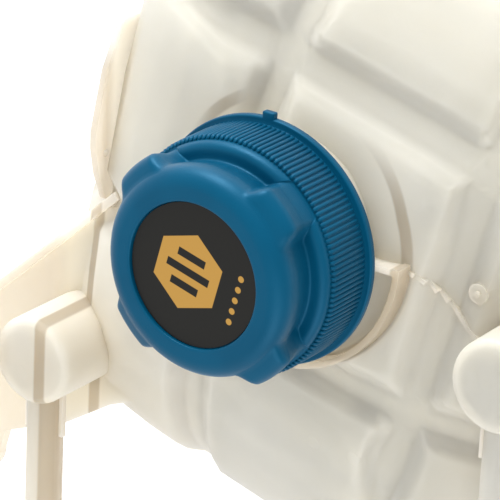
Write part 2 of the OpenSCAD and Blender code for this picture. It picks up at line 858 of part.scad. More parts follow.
// Cup that hangs in the neck: collar, two O-ring grooves, vents and the valve seat
module valve_body() {
    groove_r = neck_bore_r - slide_fit - 2 * ring_cord_r;
    groove_w = 2 * ring_cord_r + 2 * face_fit;
    vent_r = 1.6;
    seat_t = 1.2;
    seat_ledge = 1.4;
    color("#2b2f33")
        difference() {
            union() {
                translate([0, 0, floor_low])
                    cylinder(r = insert_r, h = collar_low - floor_low + overlap);
                translate([0, 0, collar_low])
                    cylinder(r = collar_r, h = collar_t);
            }
            translate([0, 0, floor_top])
                cylinder(r = chamber_r, h = collar_top - floor_top + cut);
            translate([0, 0, cover_low])
                cylinder(r = cover_r + face_fit, h = cover_t + cut);
            translate([0, 0, floor_low - cut])
                cylinder(r = seat_r - seat_ledge, h = floor_t + 2 * cut);
            for (level = [ring_high, ring_low])
                translate([0, 0, level - groove_w / 2])
                    difference() {
                        cylinder(r = insert_r + cut, h = groove_w);
                        cylinder(r = groove_r, h = groove_w);
                    }
            for (a = [45 : 90 : 315])
                rotate([0, 0, a]) {
                    translate([0, 0, (collar_low + ring_high + ring_cord_r) / 2])
                        rotate([0, 90, 0])
                            cylinder(r = vent_r, h = insert_r + cut);
                    translate([insert_r - vent_r, -vent_r, collar_low - cut])
                        cube([collar_r, 2 * vent_r, cut + 0.6 * vent_r]);
                }
        }
    color("#2b2f33")
        translate([0, 0, floor_top - overlap])
            difference() {
                cylinder(r = seat_r + seat_t / 2, h = seat_h + overlap);
                translate([0, 0, -cut])
                    cylinder(r = seat_r - seat_t / 2, h = seat_h + overlap + 2 * cut);
            }
}

// Lid of the spring chamber, with the stud that the cap snaps on to
module valve_cover() {
    lead_in = 1.2;
    color("whitesmoke")
        union() {
            translate([0, 0, cover_low])
                cylinder(r = cover_r, h = cover_t);
            translate([0, 0, collar_top - overlap])
                cylinder(r = stud_r, h = stud_head_low - collar_top + 2 * overlap);
            translate([0, 0, stud_head_low])
                cylinder(r = stud_head_r, h = stud_head_h - lead_in);
            translate([0, 0, stud_head_low + stud_head_h - lead_in])
                cylinder(r1 = stud_head_r, r2 = stud_r, h = lead_in);
            translate([0, 0, cover_low - spring_ring_h])
                spring_ring();
        }
}

// Ring that centres an end of the pressure spring
module spring_ring() {
    outer = main_coil_r - main_wire_r - spring_clear;
    ring_wall = 1.6;
    difference() {
        cylinder(r = outer, h = spring_ring_h + overlap);
        translate([0, 0, -cut])
            cylinder(r = outer - ring_wall, h = spring_ring_h + overlap + 2 * cut);
    }
}

// O-ring in a groove of the insert
module seal_ring(level) {
    color("#1a1a1a")
        translate([0, 0, level])
            rotate_extrude()
                translate([neck_bore_r - slide_fit - ring_cord_r, 0])
                    circle(r = ring_cord_r);
}

module upper_seal_ring() { seal_ring(ring_high); }

module lower_seal_ring() { seal_ring(ring_low); }

// Pressure valve: plate, spring seat and the hub that holds the vacuum valve
module pressure_piston() {
    vents = 6;
    vent_r = 0.65;
    color("#c8c2b0")
        difference() {
            union() {
                translate([0, 0, plate_low])
                    cylinder(r = plate_r, h = plate_t);
                translate([0, 0, piston_low])
                    cylinder(r = piston_hub_r, h = piston_top - piston_low);
                translate([0, 0, piston_low])
                    cylinder(r = piston_hub_r + vac_lip_out, h = vac_lip_h);
                translate([0, 0, plate_top - overlap])
                    spring_ring();
            }
            translate([0, 0, vac_web_top])
                cylinder(r = vac_bore_r, h = piston_top - vac_web_top + cut);
            translate([0, 0, piston_low - cut])
                cylinder(r = vac_cup_r, h = vac_cup_depth + cut);
            translate([0, 0, vac_web_low - cut])
                cylinder(r = stem_r + stem_fit, h = vac_web_t + 2 * cut);
            for (i = [0 : vents - 1])
                rotate([0, 0, 360 * i / vents])
                    translate([(stem_r + stem_fit + vac_cup_r) / 2, 0, vac_web_low - cut])
                        cylinder(r = vent_r, h = vac_web_t + 2 * cut);
        }
}

// Flat rubber seal under the pressure valve's plate
module pressure_seal() {
    seal_over = 3;
    color("#1a1a1a")
        translate([0, 0, seal_low])
            difference() {
                cylinder(r = seat_r + seal_over, h = seal_t);
                translate([0, 0, -cut])
                    cylinder(r = piston_hub_r + face_fit, h = seal_t + 2 * cut);
            }
}

// Point on a spring's wire: level rises with the turns, with closed ends
function coil_level(t, turns, height) =
    let (closed = 0.75, span = turns + 2 * closed)
    t < closed ? 0 : t > span - closed ? height : height * (t - closed) / turns;

// Compression spring as a tube swept along its coil, from z = 0 to length
module coil_spring(coil_r, wire_r, turns, length) {
    sides = 8;
    per_turn = 16;
    span = turns + 1.5;
    steps = round(span * per_turn);
    height = length - 2 * wire_r;
    points = [
        for (k = [0 : steps], j = [0 : sides - 1])
            let (
                t = k / per_turn,
                a = 360 * t,
                b = 360 * j / sides,
                r = coil_r + wire_r * cos(b)
            )
            [r * cos(a), r * sin(a), wire_r + coil_level(t, turns, height) + wire_r * sin(b)]
    ];
    tube = [
        for (k = [0 : steps - 1], j = [0 : sides - 1])
            let (m = (j + 1) % sides, a = k * sides, b = a + sides)
            each [[a + j, a + m, b + m], [a + j, b + m, b + j]]
    ];
    ends = [[for (j = [sides - 1 : -1 : 0]) j], [for (j = [0 : sides - 1]) steps * sides + j]];
    polyhedron(points = points, faces = concat(tube, ends), convexity = 8);
}

module pressure_spring() {
    color("silver")
        translate([0, 0, plate_top + spring_gap])
            coil_spring(main_coil_r, main_wire_r, main_turns, cover_low - plate_top - 2 * spring_gap);
}

// Vacuum valve: head under the pressure valve, stem through its web
module vacuum_poppet() {
    color("#c8c2b0")
        difference() {
            union() {
                translate([0, 0, vac_head_top - vac_head_t])
                    cylinder(r = poppet_r, h = vac_head_t);
                translate([0, 0, vac_head_top - overlap])
                    cylinder(r = stem_r, h = stem_top - vac_head_top + overlap);
            }
            translate([0, 0, washer_low])
                difference() {
                    cylinder(r = stem_r + cut, h = washer_t);
                    cylinder(r = stem_neck_r, h = washer_t);
                }
        }
}

module vacuum_seal() {
    vac_seal_in = 0.4;
    color("#1a1a1a")
        translate([0, 0, vac_head_top])
            difference() {
                cylinder(r = poppet_r - vac_seal_in, h = vac_seal_t);
                translate([0, 0, -cut])
                    cylinder(r = stem_r + press_fit, h = vac_seal_t + 2 * cut);
            }
}

module vacuum_spring() {
    color("silver")
        translate([0, 0, vac_web_top + spring_gap])
            coil_spring(small_coil_r, small_wire_r, small_turns, washer_low - vac_web_top - 2 * spring_gap);
}

// Washer that snaps into the stem's groove and takes the vacuum spring
module vacuum_washer() {
    color("whitesmoke")
        translate([0, 0, washer_low])
            difference() {
                cylinder(r = washer_r, h = washer_t);
                translate([0, 0, -cut])
                    cylinder(r = stem_neck_r + press_fit, h = washer_t + 2 * cut);
            }
}

// Moves a piece so that the origin lies between the ear's holes, on its underside
module at_ear() {
    translate([-ear_x, -ear_y, ear_t - ear_top])
        children();
}

at_ear() upper_shell();
at_ear() lower_shell();
at_ear() cap_shell();
at_ear() cap_label();
at_ear() valve_body();
at_ear() valve_cover();
at_ear() upper_seal_ring();
at_ear() lower_seal_ring();
at_ear() pressure_piston();
at_ear() pressure_seal();
at_ear() pressure_spring();
at_ear() vacuum_poppet();
at_ear() vacuum_seal();
at_ear() vacuum_spring();
at_ear() vacuum_washer();
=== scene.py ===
# %% [markdown]
# # Dressing a coolant expansion tank
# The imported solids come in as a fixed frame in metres. This lesson gives them the looks of the
# real thing: milky polypropylene that light shines through, a satin blue screw cap, a printed
# disc, and the rubber, steel and dark plastic of the valves inside. The frame never moves, so
# each piece below is made where it belongs and then told which body it rides on.

# %% Load the frame
import json
import math

import bmesh
import bpy
from mathutils import Matrix, Vector

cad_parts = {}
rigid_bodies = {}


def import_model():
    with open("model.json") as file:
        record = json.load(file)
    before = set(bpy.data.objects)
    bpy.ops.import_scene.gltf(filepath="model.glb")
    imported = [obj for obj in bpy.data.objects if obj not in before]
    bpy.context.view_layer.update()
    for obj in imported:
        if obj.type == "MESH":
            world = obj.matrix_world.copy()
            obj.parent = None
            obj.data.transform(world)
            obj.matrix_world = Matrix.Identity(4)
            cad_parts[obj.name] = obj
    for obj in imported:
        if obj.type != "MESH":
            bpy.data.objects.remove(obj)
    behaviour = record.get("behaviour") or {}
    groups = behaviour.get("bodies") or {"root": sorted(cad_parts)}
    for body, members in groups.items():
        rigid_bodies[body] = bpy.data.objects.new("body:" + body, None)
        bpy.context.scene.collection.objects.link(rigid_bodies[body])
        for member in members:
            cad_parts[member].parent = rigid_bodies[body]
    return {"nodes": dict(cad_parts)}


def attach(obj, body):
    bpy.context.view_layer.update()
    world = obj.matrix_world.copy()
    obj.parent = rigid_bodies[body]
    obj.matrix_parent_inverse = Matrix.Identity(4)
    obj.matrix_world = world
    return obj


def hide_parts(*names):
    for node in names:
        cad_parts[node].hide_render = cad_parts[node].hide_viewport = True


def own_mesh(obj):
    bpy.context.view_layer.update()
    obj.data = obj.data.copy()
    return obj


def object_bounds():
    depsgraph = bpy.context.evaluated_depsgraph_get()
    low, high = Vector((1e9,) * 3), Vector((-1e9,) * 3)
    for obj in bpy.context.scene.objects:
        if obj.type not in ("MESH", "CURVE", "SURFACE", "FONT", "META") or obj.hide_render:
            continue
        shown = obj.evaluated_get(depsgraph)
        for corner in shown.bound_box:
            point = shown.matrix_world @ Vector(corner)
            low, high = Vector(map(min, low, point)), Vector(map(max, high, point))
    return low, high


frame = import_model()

MM = 0.001
cad_box = [list(corner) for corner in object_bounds()]
nodes = frame["nodes"]
print("solids:", sorted(nodes), "box:", cad_box)

# %% [markdown]
# ## Where things are
# Sizes are easiest to read from the filler neck: its axis is the middle of the cap, and the
# underside of the cap's flange is level zero. The frame's own origin lies between the screw
# holes of the mounting ear, so one offset takes neck sizes to the frame.

# %% The neck's place
NECK = Vector((0.128, 0.097, 0.0315))


def at_neck(x, y, z):
    """A point given in millimetres from the neck, in the frame's metres."""
    return NECK + Vector((x, y, z)) * MM


def add_object(name, data):
    """An object made of a mesh, a lamp or a camera, linked to the scene."""
    made = bpy.data.objects.new(name, data)
    bpy.context.scene.collection.objects.link(made)
    return made


print("neck axis at", tuple(NECK))

# %% [markdown]
# ## The camera
# The picture was taken from behind the right shoulder of the tank, half way up, with the camera
# rolled so that the neck leans to the lower left. Three directions say that exactly: which way
# is right, which way is up, and which way leads back to the viewer. A long lens at nearly a
# metre keeps the cap's rings close to true ellipses.

# %% Set the camera
LENS = 237.6
SENSOR_WIDTH = 36.0
EYE_FROM_NECK = (479.1, 356.7, 715.7)
view_right = Vector((0.816, 0.046, -0.576))
view_back = Vector((0.517, 0.386, 0.764)).normalized()
view_up = view_back.cross(view_right).normalized()
view_right = view_up.cross(view_back).normalized()
camera_data = bpy.data.cameras.new("camera")
camera_data.sensor_width = SENSOR_WIDTH
camera_data.lens = LENS
camera_data.clip_start = 0.01
camera = add_object("camera", camera_data)
turn = Matrix((view_right, view_up, view_back)).transposed().to_4x4()
camera.matrix_world = Matrix.Translation(at_neck(*EYE_FROM_NECK)) @ turn
bpy.context.scene.camera = camera
print("camera at", tuple(round(v, 3) for v in camera.matrix_world.translation))

# %% [markdown]
# ## Writing shaders as sums
# A node tree is easier to read as arithmetic. This small class wraps one socket, and each
# operator adds the Math node that does the same. Any other node comes from one method that is
# given the node's type, its settings and its inputs.

# %% A socket that does arithmetic
class Sock:
    """One output socket of a shader tree, used like a number."""

    def __init__(self, tree, socket):
        self.tree = tree
        self.socket = socket

    def math(self, operation, *values):
        return self.tree.node("ShaderNodeMath", {"operation": operation}, dict(enumerate(values)))

    def __add__(self, other):
        return self.math("ADD", self, other)

    __radd__ = __add__

    def __sub__(self, other):
        return self.math("SUBTRACT", self, other)

    def __rsub__(self, other):
        return self.math("SUBTRACT", other, self)

    def __mul__(self, other):
        return self.math("MULTIPLY", self, other)

    __rmul__ = __mul__

    def __truediv__(self, other):
        return self.math("DIVIDE", self, other)

    def __neg__(self):
        return self.math("MULTIPLY", self, -1.0)

    def __abs__(self):
        return self.math("ABSOLUTE", self)

    def root(self):
        return self.math("SQRT", self)

    def least(self, other):
        return self.math("MINIMUM", self, other)

    def most(self, other):
        return self.math("MAXIMUM", self, other)

    def ramp(self, low, high, out_low=0.0, out_high=1.0):
        """Runs smoothly from out_low to out_high while the value runs from low to high."""
        settings = {"interpolation_type": "SMOOTHSTEP"}
        inputs = {
            "Value": self,
            "From Min": low,
            "From Max": high,
            "To Min": out_low,
            "To Max": out_high,
        }
        return self.tree.node("ShaderNodeMapRange", settings, inputs)


class Finish:
    """A material and the tree that makes it."""

    def __init__(self, name):
        self.material = bpy.data.materials.new(name)
        self.material.use_nodes = True
        self.links = self.material.node_tree.links
        self.material.node_tree.nodes.clear()

    def node(self, kind, settings=None, inputs=None, output=0):
        made = self.material.node_tree.nodes.new(kind)
        for key, value in (settings or {}).items():
            setattr(made, key, value)
        for key, value in (inputs or {}).items():
            self.feed(made.inputs[key], value)
        return Sock(self, made.outputs[output])

    def feed(self, socket, value):
        if isinstance(value, Sock):
            self.links.new(value.socket, socket)
        else:
            socket.default_value = value

    def place(self):
        """Object coordinates in metres, as three numbers."""
        where = self.node("ShaderNodeTexCoord", output="Object")
        split = self.node("ShaderNodeSeparateXYZ", {}, {0: where})
        outs = split.socket.node.outputs
        return where, [Sock(self, outs[i]) for i in range(3)]

    def noise(self, where, scale, detail=3.0, roughness=0.5):
        inputs = {"Vector": where, "Scale": scale, "Detail": detail, "Roughness": roughness}
        return self.node("ShaderNodeTexNoise", {}, inputs)

    def mix(self, share, first, second):
        """Blend of two colours."""
        made = self.material.node_tree.nodes.new("ShaderNodeMix")
        made.data_type = "RGBA"
        self.feed(made.inputs[0], share)
        self.feed(made.inputs[6], first)
        self.feed(made.inputs[7], second)
        return Sock(self, made.outputs[2])

    def bump(self, height, distance, strength=1.0):
        inputs = {"Height": height, "Distance": distance, "Strength": strength}
        return self.node("ShaderNodeBump", {}, inputs)

    def surface(self, shader):
        out = self.material.node_tree.nodes.new("ShaderNodeOutputMaterial")
        self.links.new(shader.socket, out.inputs["Surface"])


def srgb(red, green, blue):
    """A colour given from 0 to 255, as the linear colour that shaders take."""
    part = [c / 255.0 for c in (red, green, blue)]
    part = [c / 12.92 if c <= 0.04045 else ((c + 0.055) / 1.055) ** 2.4 for c in part]
    return (part[0], part[1], part[2], 1.0)


print("mid blue is", [round(c, 3) for c in srgb(10, 88, 130)])

# %% [markdown]
# ## The studio
# The tank stands on a pale table in soft light from all around. A lamp far behind it and a
# little above gives the highlights along the upper edges of the cap, and a wider, weaker one in
# front fills the shadows. The table also glows where it is seen straight, in a reflection or
# through the plastic, so that it goes white and adds only little light to the object. Towards
# the front of the table the glow fades to dark grey: painted shade that stands in for the tank's
# shadow there, and less of the glow shows in the tank's front edge, through it and in reflections.

# %% Table
table_level = cad_box[0][2] - 0.0005
TABLE_HALF = 4.0
TABLE_GLOW = 0.42
# The glow fades, as painted shade towards the front, between these two places along the table, in
# metres
PAINTED_SHADE_FROM, PAINTED_SHADE_TO = -0.45, 0.0


def make_table():
    mesh = bpy.data.meshes.new("table")
    half = TABLE_HALF
    corners = [(-half, -half), (half, -half), (half, half), (-half, half)]
    mesh.from_pydata([(x, y, table_level) for x, y in corners], [], [(0, 1, 2, 3)])
    table = add_object("table", mesh)
    pale = Finish("table_pale")
    rays = pale.node("ShaderNodeLightPath")
    outs = rays.socket.node.outputs
    seen = Sock(pale, outs["Is Camera Ray"])
    seen = seen.most(Sock(pale, outs["Is Glossy Ray"])).most(Sock(pale, outs["Is Transmission Ray"]))
    matt = pale.node("ShaderNodeBsdfDiffuse", {}, {"Color": (0.8, 0.8, 0.8, 1.0)})
    _, (_, y, _) = pale.place()
    # Painted shade: towards the front the glow drops to dark grey, standing in for the tank's shadow
    # on the table
    shade = pale.mix(y.ramp(PAINTED_SHADE_FROM, PAINTED_SHADE_TO), (0.1, 0.1, 0.1, 1.0), (1.0, 1.0, 1.0, 1.0))
    glow = pale.node("ShaderNodeEmission", {}, {"Color": shade, "Strength": seen * TABLE_GLOW})
    pale.surface(pale.node("ShaderNodeAddShader", {}, {0: matt, 1: glow}))
    mesh.materials.append(pale.material)


make_table()
print("table at", round(table_level, 4))


# %% Lamps and world
# Name, place in metres, width in metres, power in watts
LAMPS = (
    ("key_lamp", (-0.2, 1.25, 0.2), 0.6, 15.0),
    ("front_lamp", (0.75, -0.7, 1.0), 1.0, 7.0),
)
SKY_STRENGTH = 0.88


def make_lamp(name, place, size, power):
    """A round lamp that faces the neck."""
    data = bpy.data.lights.new(name, "AREA")
    data.shape = "DISK"
    data.size = size
    data.energy = power
    lamp = add_object(name, data)
    lamp.location = place
    lamp.rotation_euler = (Vector(place) - NECK).to_track_quat("Z", "Y").to_euler()


for lamp_row in LAMPS:
    make_lamp(*lamp_row)
world = bpy.data.worlds.new("studio")
world.use_nodes = True
sky = world.node_tree.nodes["Background"]
sky.inputs["Color"].default_value = (1.0, 1.0, 1.0, 1.0)
sky.inputs["Strength"].default_value = SKY_STRENGTH
bpy.context.scene.world = world
bpy.context.scene.view_settings.view_transform = "Standard"
print("lamps:", [row[0] for row in LAMPS])

# %% [markdown]
# ## Finish of the tank
# Natural polypropylene is milky: light goes in, scatters and comes out again, a little warmer.
# Subsurface scattering gives that. A small share of translucency lets light from behind glow
# through the body, and a larger one through the thin ear, tab and spill guard, which are also
# partly see-through. Faint swirls come from the melt that ran through the mould.

# %% Thin parts of the tank and marks of the mould's pins
# Edges over which the thin parts begin and end, in millimetres from the neck
EAR_EDGE = (-99.0, -90.0)
TAB_FAR_SIDE = (-82.5, -81.5)
TAB_NEAR_SIDE = (-78.5, -77.5)
TAB_FOOT = (-33.0, -27.0)
GUARD_INSIDE = (37.5, 38.5)
GUARD_OUTSIDE = (41.0, 42.0)
GUARD_FOOT = (-14.0, -11.0)
# Round marks: place from the neck and radius, in millimetres
PIN_MARKS = ((11.2, -65.8, 2.4), (25.2, -66.1, 2.4), (-86.6, -67.2, 1.6))
MARK_RIM = 0.4
MARK_HEIGHT = 0.6


def thin_parts(x, y, z):
    """1 on the ear, the tab and the spill guard, 0 on the body."""
    dx = (x - NECK.x) / MM
    dy = (y - NECK.y) / MM
    dz = (z - NECK.z) / MM
    ear = dx.ramp(*EAR_EDGE, 1.0, 0.0)
    tab = dx.ramp(*TAB_NEAR_SIDE, 1.0, 0.0) * dx.ramp(*TAB_FAR_SIDE) * dz.ramp(*TAB_FOOT)
    out = (dx * dx + dy * dy).root()
    guard = out.ramp(*GUARD_INSIDE) * out.ramp(*GUARD_OUTSIDE, 1.0, 0.0) * dz.ramp(*GUARD_FOOT)
    return ear.most(tab).most(guard)


def pressed_marks(x, y):
    """Rims of the round marks that the mould's pins left on the body and on a turret."""
    rims = 0.0
    for mark_x, mark_y, radius in PIN_MARKS:
        dx = x - (NECK.x + mark_x * MM)
        dy = y - (NECK.y + mark_y * MM)
        away = (dx * dx + dy * dy).root() / MM
        rims = away.ramp(radius - MARK_RIM, radius, MARK_HEIGHT, 0.0) + rims
    return rims


print(len(PIN_MARKS), "marks of mould pins")


# %% Milky polypropylene
BODY_THROUGH = 0.1
THIN_THROUGH = 0.45
THIN_CLEAR = 0.35
# How far light spreads in the wall, and how much of red, green and blue gets that far
SPREAD = 0.016
SPREAD_COLOURS = (1.0, 0.97, 0.93)


def tank_finish():
    f = Finish("milky_polypropylene")
    where, (x, y, z) = f.place()
    swirl = f.noise(where, scale=14.0, detail=4.0, roughness=0.55)
    grain = f.noise(where, scale=900.0, detail=2.0, roughness=0.5)
    colour = f.mix(swirl.ramp(0.35, 0.7), srgb(240, 227, 203), srgb(244, 232, 210))
    ripple = f.noise(where, scale=55.0, detail=2.0, roughness=0.4)
    height = ripple * 0.7 + grain * 0.12 + pressed_marks(x, y)
    normal = f.bump(height, distance=0.0006, strength=0.2)
    shell = f.node("ShaderNodeBsdfPrincipled", {}, {
        "Base Color": colour,
        "Roughness": swirl.ramp(0.3, 0.7, 0.42, 0.52),
        "Subsurface Weight": 1.0,
        "Subsurface Radius": SPREAD_COLOURS,
        "Subsurface Scale": SPREAD,
        "Specular IOR Level": 0.3,
        "IOR": 1.49,
        "Normal": normal,
    })
    thin = thin_parts(x, y, z)
    glow_through = f.node("ShaderNodeBsdfTranslucent", {}, {"Color": colour, "Normal": normal})
    through = thin * (THIN_THROUGH - BODY_THROUGH) + BODY_THROUGH
    milky = f.node("ShaderNodeMixShader", {}, {0: through, 1: shell, 2: glow_through})
    clear = f.node("ShaderNodeBsdfTransparent", {}, {"Color": (1.0, 1.0, 1.0, 1.0)})
    f.surface(f.node("ShaderNodeMixShader", {}, {0: thin * THIN_CLEAR, 1: milky, 2: clear}))
    return f.material


tank_plastic = tank_finish()
print("made", tank_plastic.name)

# %% [markdown]
# ## Finishes of the cap, its label and the valves
# The cap is satin: the mould was spark eroded, which leaves a fine even grain. The label is a
# black film with a few plain shapes in ochre. Inside, the insert is dark glass-filled plastic,
# the valves are natural acetal, and the seals are matt rubber.

# %% Satin blue cap
def cap_finish():
    f = Finish("satin_blue")
    where, _ = f.place()
    cloud = f.noise(where, scale=40.0, detail=3.0)
    grain = f.noise(where, scale=2600.0, detail=2.0, roughness=0.6)
    colour = f.mix(cloud.ramp(0.3, 0.7), srgb(0, 70, 100), srgb(0, 76, 107))
    normal = f.bump(grain, distance=0.0001, strength=0.5)
    f.surface(f.node("ShaderNodeBsdfPrincipled", {}, {
        "Base Color": colour,
        "Roughness": cloud.ramp(0.3, 0.7, 0.36, 0.44),
        "Specular Tint": (0.15, 0.5, 0.8, 1.0),
        "IOR": 1.5,
        "Normal": normal,
    }))
    return f.material


cap_plastic = cap_finish()
print("made", cap_plastic.name)


# %% Printed label
# Sizes of the print, in millimetres in the label's own turned axes
PRINT_LEAN = -14.0
PRINT_EDGE = 0.2
HEXAGON_HALF = 10.3
HEXAGON_LEFT = 2.0
# Level and half length of each bar across the hexagon
BARS = ((4.6, 4.6), (0.0, 7.2), (-4.6, 4.6))
BAR_HALF = 1.1
DOTS = 5
DOT_R = 0.85
DOT_COLUMN = 14.6
DOT_TOP = 7.0
DOT_STEP = 3.5


def label_finish():
    f = Finish("printed_film")
    where, (x, y, _) = f.place()
    lean = math.radians(PRINT_LEAN)
    dx = (x - NECK.x) / MM
    dy = (y - NECK.y) / MM
    u = dx * math.cos(lean) + dy * math.sin(lean)
    v = dy * math.cos(lean) - dx * math.sin(lean)
    # A hexagon: the largest of its three distances from the middle
    across = u + HEXAGON_LEFT
    three = [abs(across)]
    for angle in (60.0, 120.0):
        c = math.cos(math.radians(angle))
        s = math.sin(math.radians(angle))
        three.append(abs(across * c + v * s))
    far = three[0].most(three[1]).most(three[2])
    hexagon = far.ramp(HEXAGON_HALF, HEXAGON_HALF + PRINT_EDGE, 1.0, 0.0)
    # Three plain bars across it
    bars = 0.0
    for level, half in BARS:
        wide = abs(v - level).ramp(BAR_HALF, BAR_HALF + PRINT_EDGE, 1.0, 0.0)
        bars = wide * abs(across).ramp(half, half + PRINT_EDGE, 1.0, 0.0) + bars
    # A row of dots beside it
    dots = 0.0
    for k in range(DOTS):
        side = u - DOT_COLUMN
        rise = v - (DOT_TOP - DOT_STEP * k)
        away = (side * side + rise * rise).root()
        dots = away.ramp(DOT_R, DOT_R + PRINT_EDGE, 1.0, 0.0) + dots
    ink = (hexagon * (1.0 - bars) + dots).least(1.0)
    weave = f.noise(where, scale=1500.0, detail=2.0)
    colour = f.mix(ink, srgb(16, 15, 11), srgb(182, 138, 62))
    f.surface(f.node("ShaderNodeBsdfPrincipled", {}, {
        "Base Color": colour,
        "Roughness": weave.ramp(0.3, 0.7, 0.36, 0.46),
        "Specular IOR Level": 0.3,
        "Normal": f.bump(weave, distance=0.00003, strength=0.3),
    }))
    return f.material


label_print = label_finish()
print("made", label_print.name)


# %% Plain moulded plastics, rubber and steel
ROUGH_SWING = 0.05


def moulded(name, dark, light, rough, grain_size):
    f = Finish(name)
    where, _ = f.place()
    cloud = f.noise(where, scale=60.0, detail=3.0)
    grain = f.noise(where, scale=grain_size, detail=2.0)
    f.surface(f.node("ShaderNodeBsdfPrincipled", {}, {
        "Base Color": f.mix(cloud.ramp(0.3, 0.7), dark, light),
        "Roughness": cloud.ramp(0.3, 0.7, rough - ROUGH_SWING, rough + ROUGH_SWING),
        "Normal": f.bump(grain, distance=0.0001, strength=0.4),
    }))
    return f.material


def wire():
    f = Finish("spring_wire")
    where, _ = f.place()
    drawn = f.noise(where, scale=1200.0, detail=2.0)
    f.surface(f.node("ShaderNodeBsdfPrincipled", {}, {
        "Base Color": f.mix(drawn.ramp(0.3, 0.7), srgb(150, 150, 155), srgb(190, 190, 194)),
        "Metallic": 1.0,
        "Roughness": drawn.ramp(0.3, 0.7, 0.22, 0.36),
    }))
    return f.material


insert_plastic = moulded("dark_insert", srgb(38, 41, 44), srgb(48, 51, 54), 0.42, 1800.0)
valve_plastic = moulded("natural_acetal", srgb(214, 208, 190), srgb(226, 221, 206), 0.38, 1200.0)
seal_rubber = moulded("seal_rubber", srgb(20, 20, 20), srgb(30, 30, 30), 0.7, 2500.0)
spring_steel = wire()
print("made", insert_plastic.name, valve_plastic.name, seal_rubber.name, spring_steel.name)

# %% Finish of each solid that is shown as it is
solid_finishes = {
    "cap_label": label_print,
    "valve_body": insert_plastic,
    "valve_cover": valve_plastic,
    "upper_seal_ring": seal_rubber,
    "lower_seal_ring": seal_rubber,
    "pressure_piston": valve_plastic,
    "pressure_seal": seal_rubber,
    "vacuum_poppet": valve_plastic,
    "vacuum_seal": seal_rubber,
    "vacuum_washer": valve_plastic,
}
for name, material in solid_finishes.items():
    nodes[name].data.materials.clear()
    nodes[name].data.materials.append(material)
print("finished", len(solid_finishes), "solids")

# %% [markdown]
# ## The tank's two shells
# The solids already have the right shape: domes with quilted grooves over the inner walls. They
# come as loose triangles, which would show as facets. A copy with its corners merged can be
# shaded smoothly, with every edge sharper than a fixed angle kept crisp.

# %% Smooth copies of the shells
SHELL_CREASE = 55.0


def crease(work, degrees):
    """Smooth shading, with each edge sharper than an angle kept crisp."""
    angle = math.radians(degrees)
    for edge in work.edges:
        edge.smooth = len(edge.link_faces) == 2 and edge.calc_face_angle(0.0) < angle
    for face in work.faces:
        face.smooth = True


def smooth_copy(node, name, material, degrees):
    """A merged, smoothly shaded copy of a node, standing in its place."""
    mesh = nodes[node].data.copy()
    mesh.name = name
    work = bmesh.new()
    work.from_mesh(mesh)
    bmesh.ops.remove_doubles(work, verts=work.verts, dist=2e-6)
    crease(work, degrees)
    work.to_mesh(mesh)
    work.free()
    if "custom_normal" in mesh.attributes:
        mesh.attributes.remove(mesh.attributes["custom_normal"])
    mesh.materials.clear()
    mesh.materials.append(material)
    print(name, len(mesh.polygons), "faces")
    return add_object(name, mesh)


for node in ("upper_shell", "lower_shell"):
    shell = smooth_copy(node, node + "_skin", tank_plastic, SHELL_CREASE)
    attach(shell, "tank")
    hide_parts(node)

# %% [markdown]
# ## A tree for coils
# Screw threads and springs are the same thing: a rod that runs round an axis while it climbs.
# One Geometry Nodes tree makes them all. It bends a straight line of points into a coil, gives
# it closed turns at the ends if asked, and sweeps a round rod along it.

# %% Building a tree
def group_tree(name, sizes):
    """An empty tree with Geometry in and out, and the named inputs."""
    tree = bpy.data.node_groups.new(name, "GeometryNodeTree")
    tree.interface.new_socket("Geometry", in_out="INPUT", socket_type="NodeSocketGeometry")
    for label, kind in sizes:
        tree.interface.new_socket(label, in_out="INPUT", socket_type=kind)
    tree.interface.new_socket("Geometry", in_out="OUTPUT", socket_type="NodeSocketGeometry")
    return tree


def add_node(tree, kind, settings=None, inputs=None):
    made = tree.nodes.new(kind)
    for key, value in (settings or {}).items():
        setattr(made, key, value)
    for key, value in (inputs or {}).items():
        if isinstance(value, bpy.types.NodeSocket):
            tree.links.new(value, made.inputs[key])
        else:
            made.inputs[key].default_value = value
    return made


def calc(tree, operation, *values):
    made = add_node(tree, "ShaderNodeMath", {"operation": operation}, dict(enumerate(values)))
    return made.outputs[0]


def end_tree(tree, solid):
    """Ends a tree: its copies made real, in the material of its Finish input."""
    into = tree.nodes.new("NodeGroupInput").outputs
    real = add_node(tree, "GeometryNodeRealizeInstances", {}, {0: solid})
    inputs = {"Geometry": real.outputs[0], "Material": into["Finish"]}
    done = add_node(tree, "GeometryNodeSetMaterial", {}, inputs)
    out = tree.nodes.new("NodeGroupOutput")
    tree.links.new(done.outputs[0], out.inputs[0])
    return tree


print("helpers for trees are ready")


# %% Geometry Nodes: coil
TAPER_DEPTH = 0.9


